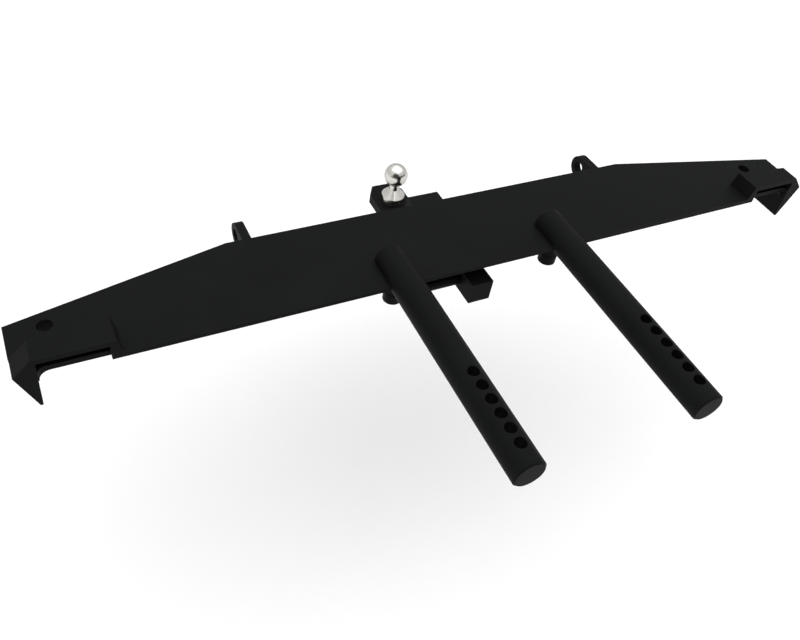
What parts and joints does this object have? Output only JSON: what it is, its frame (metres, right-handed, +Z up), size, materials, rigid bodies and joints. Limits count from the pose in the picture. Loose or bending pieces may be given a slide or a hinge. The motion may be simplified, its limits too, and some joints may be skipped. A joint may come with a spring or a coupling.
{
  "type": "model truck rear bumper",
  "caption": "Wide flat rear bumper with tapered ends, hooded corners, drilled round mounting posts, shackle lugs and a sliding drop hitch with a tow ball.",
  "frame": {"origin": "middle of the plate's front edge, on its top face", "axes": "+X along the bumper to its right end, +Y to the rear of the vehicle, +Z up"},
  "size_m": [0.19, 0.1005, 0.028],
  "materials": {
    "black_anodised": "satin",
    "black_steel": "satin",
    "polished_steel": "polished",
    "zinc_steel": "brushed"
  },
  "bodies": {
    "bumper": {"bumper_plate": "black_anodised", "left_hood": "black_anodised", "right_hood": "black_anodised", "left_post": "black_anodised", "right_post": "black_anodised", "left_post_spacer": "black_anodised", "right_post_spacer": "black_anodised", "post_screws": "black_steel", "end_bosses": "black_anodised", "left_lug": "black_anodised", "right_lug": "black_anodised", "receiver_tube": "black_anodised", "receiver_collar": "black_anodised", "receiver_hanger": "black_anodised", "clamp_screw": "black_steel"},
    "hitch": {"drawbar": "black_anodised", "drop_plate": "black_anodised", "tongue": "black_anodised", "tow_ball": "polished_steel", "ball_washer": "zinc_steel", "ball_nut": "zinc_steel"}
  },
  "joints": [
    {"name": "hitch_slide", "type": "slide", "parent": "bumper", "child": "hitch", "axis": [0, 1, 0], "range_m": [0, 0.012]}
  ]
}
